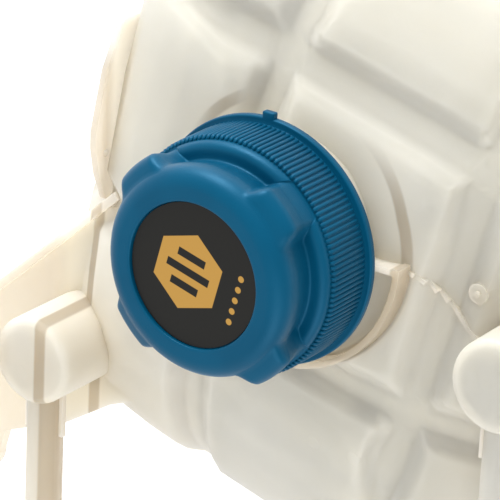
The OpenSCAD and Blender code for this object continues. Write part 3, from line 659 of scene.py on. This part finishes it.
def coil_tree():
    number = "NodeSocketFloat"
    tree = group_tree("coil", [
        ("Coil radius", number),
        ("Rod radius", number),
        ("Height", number),
        ("Turns", number),
        ("Closed turns", number),
        ("Start angle", number),
        ("Taper", number),
        ("Steps a turn", "NodeSocketInt"),
        ("Rod sides", "NodeSocketInt"),
        ("Finish", "NodeSocketMaterial"),
    ])
    into = tree.nodes.new("NodeGroupInput").outputs
    steps = calc(tree, "MULTIPLY", into["Turns"], into["Steps a turn"])
    ends = {"Start": (0, 0, 0), "End": (0, 0, 1)}
    line = add_node(tree, "GeometryNodeCurvePrimitiveLine", {}, ends)
    inputs = {"Curve": line.outputs[0], "Count": steps}
    dense = add_node(tree, "GeometryNodeResampleCurve", {}, inputs)
    share = add_node(tree, "GeometryNodeSplineParameter").outputs["Factor"]
    along = calc(tree, "MULTIPLY", share, into["Turns"])
    angle = calc(tree, "ADD", calc(tree, "MULTIPLY", along, 2.0 * math.pi), into["Start angle"])
    # Level: flat over the closed turns at each end, straight between
    climb = calc(tree, "SUBTRACT", into["Turns"], calc(tree, "MULTIPLY", into["Closed turns"], 2.0))
    risen = calc(tree, "DIVIDE", calc(tree, "SUBTRACT", along, into["Closed turns"]), climb)
    risen = calc(tree, "MINIMUM", calc(tree, "MAXIMUM", risen, 0.0), 1.0)
    place = add_node(tree, "ShaderNodeCombineXYZ", {}, {
        0: calc(tree, "MULTIPLY", into["Coil radius"], calc(tree, "COSINE", angle)),
        1: calc(tree, "MULTIPLY", into["Coil radius"], calc(tree, "SINE", angle)),
        2: calc(tree, "MULTIPLY", risen, into["Height"]),
    })
    inputs = {"Geometry": dense.outputs[0], "Position": place.outputs[0]}
    bent = add_node(tree, "GeometryNodeSetPosition", {}, inputs)
    # The rod thins out over the taper's share of the length at both ends
    end = calc(tree, "MINIMUM", share, calc(tree, "SUBTRACT", 1.0, share))
    thick = calc(tree, "DIVIDE", end, calc(tree, "MAXIMUM", into["Taper"], 0.0001))
    depth = calc(tree, "MULTIPLY", calc(tree, "SIGN", into["Taper"]), TAPER_DEPTH)
    thinnest = calc(tree, "SUBTRACT", 1.0, depth)
    thick = calc(tree, "MAXIMUM", calc(tree, "MINIMUM", thick, 1.0), thinnest)
    ring = add_node(tree, "GeometryNodeCurvePrimitiveCircle", {}, {
        "Resolution": into["Rod sides"], "Radius": into["Rod radius"]})
    tube = add_node(tree, "GeometryNodeCurveToMesh", {}, {
        "Curve": bent.outputs[0],
        "Profile Curve": ring.outputs[0],
        "Scale": thick,
        "Fill Caps": True,
    })
    return end_tree(tree, tube.outputs[0])


def grow(name, tree, values, start=None):
    """Runs a tree on a mesh, keeps the result as a plain mesh at the frame's origin."""
    mesh = start or bpy.data.meshes.new(name + "_seed")
    seed = add_object(name + "_seed", mesh)
    modifier = seed.modifiers.new("grow", "NODES")
    modifier.node_group = tree
    for item in tree.interface.items_tree:
        if item.item_type == "SOCKET" and item.in_out == "INPUT" and item.name in values:
            modifier[item.identifier] = values[item.name]
    graph = bpy.context.evaluated_depsgraph_get()
    result = bpy.data.meshes.new_from_object(seed.evaluated_get(graph), depsgraph=graph)
    bpy.data.objects.remove(seed)
    result.name = name
    return add_object(name, result)


def settle(piece, place, degrees=40.0):
    """Moves a piece's mesh to its place, turns its faces outwards and shades it."""
    work = bmesh.new()
    work.from_mesh(piece.data)
    bmesh.ops.translate(work, verts=work.verts, vec=place)
    bmesh.ops.recalc_face_normals(work, faces=work.faces)
    crease(work, degrees)
    work.to_mesh(piece.data)
    work.free()
    return piece


coil = coil_tree()
print("coil inputs:", [i.name for i in coil.interface.items_tree if i.in_out == "INPUT"])

# %% [markdown]
# ## Screw threads
# The cap's thread and the neck's thread have the same lead of 6 mm, which is also the lead of
# the frame's coupled joints, so one slides in the gaps of the other at every pose. Both are
# rounded, as threads are that must come out of a plastic mould.

# %% Threads of the neck and the cap
LEAD = 6.0
# Share of the thread's length over which each end runs out
THREAD_TAPER = 0.06


def thread(name, radius, rod, low, turns, body, material):
    piece = grow(name, coil, {
        "Coil radius": radius * MM,
        "Rod radius": rod * MM,
        "Height": turns * LEAD * MM,
        "Turns": turns,
        "Closed turns": 0.0,
        "Start angle": 2.0 * math.pi * ((low / LEAD) % 1.0),
        "Taper": THREAD_TAPER,
        "Steps a turn": 72,
        "Rod sides": 10,
        "Finish": material,
    })
    settle(piece, at_neck(0.0, 0.0, low))
    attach(piece, body)
    print(name, len(piece.data.polygons), "faces")


thread("neck_thread", radius=29.0, rod=1.3, low=-1.0, turns=2.0,
       body="tank", material=tank_plastic)
thread("cap_thread", radius=31.0, rod=1.2, low=2.0, turns=1.9,
       body="cap", material=cap_plastic)

# %% [markdown]
# ## The cap's body
# A screw cap is a turned shape, except for its four grip lobes. So the body is a stack of
# rings: each has a radius and a level, and the lobes push the outer rings outwards where they
# stand. One closed skin runs from the middle of the label's recess over the hub, the shoulder
# and the flange, and back inside to the middle of the roof.

# %% Grip lobes of the cap
FACE_Z = 35.79
WAIST_R = 28.8
LOBE_OUT = 4.6
# Half of a lobe's flat crest, and the flank beside it, in degrees
CREST_HALF = 10.0
FLANK = 9.0
# The lobes start to round over this far below the face, and are level with the hub after this rise
CROWN_DROP = 7.6
CROWN_RUN = 4.6


def lobe_at(angle):
    """Share of the lobes' reach at an angle in degrees: 1 on a crest, 0 between lobes."""
    off = abs((angle % 90.0) - 45.0)
    t = min(1.0, max(0.0, (off - CREST_HALF) / FLANK))
    return 0.5 + 0.5 * math.cos(math.pi * t)


def crown_share(z):
    """Share of the lobes' reach at a level: they are rounded over, a little below the face."""
    t = min(1.0, max(0.0, (z - FACE_Z + CROWN_DROP) / CROWN_RUN))
    return math.sqrt(max(0.0, 1.0 - t * t))


print("lobes reach", WAIST_R + LOBE_OUT, "mm from the axis")


# %% Rings of the cap's upper part
HUB_R = 30.6
# Rounding of the hub's upper edge: its depth and its width
HUB_EDGE_H = 5.2
HUB_EDGE_W = 5.72


def arc(radius, level, size_r, size_z, start, stop, count):
    """Points of an elliptical arc in the plane of radius and level, angles in degrees."""
    angles = [math.radians(start + (stop - start) * i / count) for i in range(count + 1)]
    return [(radius + size_r * math.cos(a), level + size_z * math.sin(a)) for a in angles]


def hub_rings():
    """Radius, level and lobe share of the rings from the label's recess down to the waist."""
    rings = [(0.0, 34.2, 0.0), (12.0, 34.2, 0.0), (21.0, 34.2, 0.0), (21.3, 34.35, 0.0)]
    rings += [(21.35, 35.2, 0.0)]
    rings += [(r, z, 0.0) for r, z in arc(21.85, 35.3, 0.5, 0.5, 180.0, 90.0, 4)]
    rings += [(22.6, 35.8, 0.0)]
    for i in range(16):
        a = math.radians(90.0 - 6.0 * i)
        r = HUB_R - HUB_EDGE_W * (1.0 - math.cos(a))
        z = FACE_Z - HUB_EDGE_H + HUB_EDGE_H * math.sin(a)
        rings.append((r, z, crown_share(z)))
    side = ((30.6, 30.1), (30.6, 29.6), (30.5, 29.1), (30.5, 28.6), (30.4, 28.1), (30.2, 27.4))
    rings += [(r, z, crown_share(z)) for r, z in side]
    rings += [(29.8, 25.8, 1.0), (29.3, 24.2, 1.0), (28.9, 23.0, 1.0), (WAIST_R, 22.0, 1.0)]
    return rings


print("hub:", len(hub_rings()), "rings")


# %% Shoulder, skirt and inside of the cap
FLANGE_T = 2.2
SKIRT_R = 34.85
SKIRT_TOP = 20.4
SHOULDER_R = 31.4
SHOULDER_ROUND = 2.6
FILLET = 0.7
FILLET_STEPS = 4
SHOULDER_STEPS = 8
# Share of the shoulder's points on its flat part
FLAT_SHARE = 0.25


def skirt_point(k, reach):
    """Point k of the fillet and shoulder, where the lobe or the waist above stands reach out."""
    start = reach + FILLET
    drop = max(0.0, start - SHOULDER_R)
    middle = SKIRT_TOP - SHOULDER_ROUND
    level = middle + math.sqrt(max(0.0, SHOULDER_ROUND ** 2 - drop ** 2))
    if k <= FILLET_STEPS:
        a = math.radians(180.0 + 90.0 / FILLET_STEPS * k)
        return start + FILLET * math.cos(a), level + FILLET + FILLET * math.sin(a)
    t = (k - FILLET_STEPS) / SHOULDER_STEPS
    if start >= SHOULDER_R:
        a = math.acos(min(1.0, drop / SHOULDER_ROUND)) * (1.0 - t)
    elif t <= FLAT_SHARE:
        return start + (SHOULDER_R - start) * t / FLAT_SHARE, SKIRT_TOP
    else:
        a = math.radians(90.0) * (1.0 - (t - FLAT_SHARE) / (1.0 - FLAT_SHARE))
    return SHOULDER_R + SHOULDER_ROUND * math.cos(a), middle + SHOULDER_ROUND * math.sin(a)


def lower_rings():
    """Rings of the skirt, the flange and the inside, round all the way."""
    rings = [(34.0, 17.4), (SKIRT_R, 17.0), (SKIRT_R, 2.9), (SKIRT_R + 0.2, 2.35)]
    rings += [(SKIRT_R + 0.7, FLANGE_T), (36.3, FLANGE_T)]
    rings += arc(36.4, 1.6, 0.6, 0.6, 90.0, 0.0, 4)
    rings += arc(36.5, 0.5, 0.5, 0.5, 0.0, -90.0, 4)
    rings += [(31.5, 0.0), (31.0, 0.5), (31.0, 8.0), (31.0, 16.6), (30.6, 17.0)]
    rings += [(25.9, 17.0), (25.2, 17.7), (25.2, 30.4)]
    rings += [(24.4, 31.2), (12.0, 31.2), (5.0, 31.2), (0.0, 31.2)]
    return rings


print("skirt, flange and inside:", len(lower_rings()), "rings")


# %% Skin of the cap
STEPS = 360
CAP_CREASE = 35.0


def cap_rings():
    """All rings as rows of points, each row a closed ring or a single pole."""
    rows = []
    for r, z, share in hub_rings():
        row = []
        for i in range(STEPS):
            angle = 360.0 * i / STEPS
            reach = r + LOBE_OUT * share * lobe_at(angle)
            row.append((reach, angle, z))
        rows.append(row)
    for k in range(FILLET_STEPS + SHOULDER_STEPS + 1):
        row = []
        for i in range(STEPS):
            angle = 360.0 * i / STEPS
            r, z = skirt_point(k, WAIST_R + LOBE_OUT * lobe_at(angle))
            row.append((r, angle, z))
        rows.append(row)
    for r, z in lower_rings():
        rows.append([(r, 360.0 * i / STEPS, z) for i in range(STEPS)])
    return rows


def mesh_from(work, name):
    """The mesh of finished work, which is then freed."""
    mesh = bpy.data.meshes.new(name)
    work.to_mesh(mesh)
    work.free()
    return mesh


def skin_from_rings(name, rows, material):
    """A closed mesh from rows of (radius, angle, level); a row of radius zero is a pole."""
    work = bmesh.new()
    made = []
    for row in rows:
        if max(p[0] for p in row) < 1e-6:
            made.append([work.verts.new(at_neck(0.0, 0.0, row[0][2]))])
            continue
        ring = []
        for r, angle, z in row:
            a = math.radians(angle)
            ring.append(work.verts.new(at_neck(r * math.cos(a), r * math.sin(a), z)))
        made.append(ring)
    for upper, lower in zip(made, made[1:]):
        for i in range(STEPS):
            j = (i + 1) % STEPS
            if len(upper) == 1:
                work.faces.new((upper[0], lower[i], lower[j]))
            elif len(lower) == 1:
                work.faces.new((upper[i], lower[0], upper[j]))
            else:
                work.faces.new((upper[i], lower[i], lower[j], upper[j]))
    bmesh.ops.remove_doubles(work, verts=work.verts, dist=1e-7)
    bmesh.ops.recalc_face_normals(work, faces=work.faces)
    mesh = mesh_from(work, name)
    mesh.materials.append(material)
    return add_object(name, mesh)


cap_body = skin_from_rings("cap_body", cap_rings(), cap_plastic)
settle(cap_body, Vector((0, 0, 0)), CAP_CREASE)
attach(cap_body, "cap")
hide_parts("cap_shell")
print("cap body:", len(cap_body.data.polygons), "faces")

# %% [markdown]
# ## A tree for what stands round an axis
# The knurl's ribs and the fingers of the cap's inner socket repeat round the cap's axis. A
# second tree takes one of them, turns copies of it round the axis and joins them into one mesh.
# The flange's pointer stands there once, so it is a plain block with rounded edges.

# %% Geometry Nodes: ring of copies
def ring_tree():
    tree = group_tree("ring_of_copies", [
        ("Count", "NodeSocketInt"),
        ("Finish", "NodeSocketMaterial"),
    ])
    into = tree.nodes.new("NodeGroupInput").outputs
    points = add_node(tree, "GeometryNodePoints", {}, {"Count": into["Count"]})
    index = add_node(tree, "GeometryNodeInputIndex").outputs[0]
    step = calc(tree, "DIVIDE", 2.0 * math.pi, into["Count"])
    turned = add_node(tree, "ShaderNodeCombineXYZ", {}, {2: calc(tree, "MULTIPLY", index, step)})
    copies = add_node(tree, "GeometryNodeInstanceOnPoints", {}, {
        "Points": points.outputs[0],
        "Instance": into["Geometry"],
        "Rotation": turned.outputs[0],
    })
    return end_tree(tree, copies.outputs[0])


ring_of = ring_tree()
print("ring inputs:", [i.name for i in ring_of.interface.items_tree if i.in_out == "INPUT"])


# %% Knurl of the skirt
KNURLS = 140
RIB_OUT = 0.62
RIB_HALF = 0.6
# Level, share of the rib's size, and distance from the axis
RIB_ROWS = ((2.6, 0.7, 34.75), (3.3, 1.0, 34.78), (17.0, 1.0, 34.78), (17.8, 0.6, 34.3))
KNURL_CREASE = 50.0


def bar_mesh(name, outline, levels):
    """An upright bar: one outline in plan at rows of level, scale and shift, in millimetres."""
    work = bmesh.new()
    rows = []
    for level, scale, shift in levels:
        row = [((x * scale + shift) * MM, y * scale * MM, level * MM) for x, y in outline]
        rows.append([work.verts.new(place) for place in row])
    n = len(outline)
    for low, high in zip(rows, rows[1:]):
        for i in range(n):
            work.faces.new((low[i], low[(i + 1) % n], high[(i + 1) % n], high[i]))
    work.faces.new(list(reversed(rows[0])))
    work.faces.new(rows[-1])
    return mesh_from(work, name)


rib_angles = [math.radians(a) for a in range(-90, 91, 30)]
rib_plan = [(RIB_OUT * math.cos(a), RIB_HALF * math.sin(a)) for a in rib_angles]
rib_plan += [(-0.3, 0.5), (-0.3, -0.5)]
rib = bar_mesh("rib", rib_plan, RIB_ROWS)
knurl = grow("cap_knurl", ring_of, {"Count": KNURLS, "Finish": cap_plastic}, rib)
settle(knurl, NECK, KNURL_CREASE)
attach(knurl, "cap")
print("knurl:", len(knurl.data.polygons), "faces")

# %% Fingers of the socket
FINGERS = 6
FINGER_STEPS = 10
# Half of the slot between two fingers
SLOT_HALF = 0.7
# Distance from the axis and level, round one finger's section
FINGER_SECTION = (
    (8.5, 31.3), (8.5, 17.5), (7.9, 16.95), (5.0, 16.95),
    (4.05, 17.7), (4.05, 21.7), (5.6, 21.9), (5.6, 31.3),
)


def finger_mesh():
    """One of the springy fingers that hold the stud of the valve cover, in plan at angle zero."""
    work = bmesh.new()
    rows = []
    for i in range(FINGER_STEPS + 1):
        row = []
        for r, z in FINGER_SECTION:
            half = math.radians(180.0 / FINGERS) - math.asin(SLOT_HALF / r)
            a = -half + 2.0 * half * i / FINGER_STEPS
            row.append(work.verts.new((r * math.cos(a) * MM, r * math.sin(a) * MM, z * MM)))
        rows.append(row)
    n = len(FINGER_SECTION)
    for first, second in zip(rows, rows[1:]):
        for k in range(n):
            work.faces.new((first[k], second[k], second[(k + 1) % n], first[(k + 1) % n]))
    work.faces.new(rows[0])
    work.faces.new(list(reversed(rows[-1])))
    bmesh.ops.recalc_face_normals(work, faces=work.faces)
    return mesh_from(work, "finger")


fingers = grow("cap_fingers", ring_of, {"Count": FINGERS, "Finish": cap_plastic}, finger_mesh())
settle(fingers, NECK)
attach(fingers, "cap")
print("fingers:", len(fingers.data.polygons), "faces")


# %% Pointer on the flange
POINTER_SIZE = (4.0, 3.7, 2.16)
POINTER_PLACE = (0.0, 36.84, 1.1)
POINTER_ROUND = 0.45


def pointer_mesh():
    """Small block that stands out of the flange."""
    work = bmesh.new()
    bmesh.ops.create_cube(work, size=1.0)
    bmesh.ops.scale(work, verts=work.verts, vec=[size * MM for size in POINTER_SIZE])
    bmesh.ops.translate(work, verts=work.verts, vec=[place * MM for place in POINTER_PLACE])
    bmesh.ops.bevel(work, geom=work.edges[:], offset=POINTER_ROUND * MM, segments=3,
                    affect="EDGES", profile=0.5)
    mesh = mesh_from(work, "cap_pointer")
    mesh.materials.append(cap_plastic)
    return mesh


pointer = add_object("cap_pointer", pointer_mesh())
settle(pointer, NECK)
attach(pointer, "cap")
print("pointer:", len(pointer.data.polygons), "faces")

# %% [markdown]
# ## Springs
# The coil tree also makes both springs, now with closed turns at the ends and no taper. Each
# stands for its solid.

# %% Pressure and vacuum springs
# Lengths at rest and with the valve fully open
MAIN_LENGTH, MAIN_PRESSED = 18.61, 14.61
SMALL_LENGTH, SMALL_PRESSED = 6.61, 5.11
MAIN_LOW, MAIN_TOP = -3.73, 14.88
SMALL_LOW = -5.88


def spring(name, node, body, coil_r, wire_r, low, length):
    piece = grow(name, coil, {
        "Coil radius": coil_r * MM,
        "Rod radius": wire_r * MM,
        "Height": (length - 2.0 * wire_r) * MM,
        "Turns": 5.5,
        "Closed turns": 0.75,
        "Start angle": 0.0,
        "Taper": 0.0,
        "Steps a turn": 40,
        "Rod sides": 12,
        "Finish": spring_steel,
    })
    settle(piece, at_neck(0.0, 0.0, low + wire_r))
    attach(piece, body)
    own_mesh(piece)
    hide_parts(node)
    print(name, len(piece.data.polygons), "faces")


spring("main_spring", "pressure_spring", "valve_insert",
       coil_r=12.4, wire_r=0.95, low=MAIN_LOW, length=MAIN_LENGTH)
spring("small_spring", "vacuum_spring", "pressure_valve",
       coil_r=2.7, wire_r=0.3, low=SMALL_LOW, length=SMALL_LENGTH)
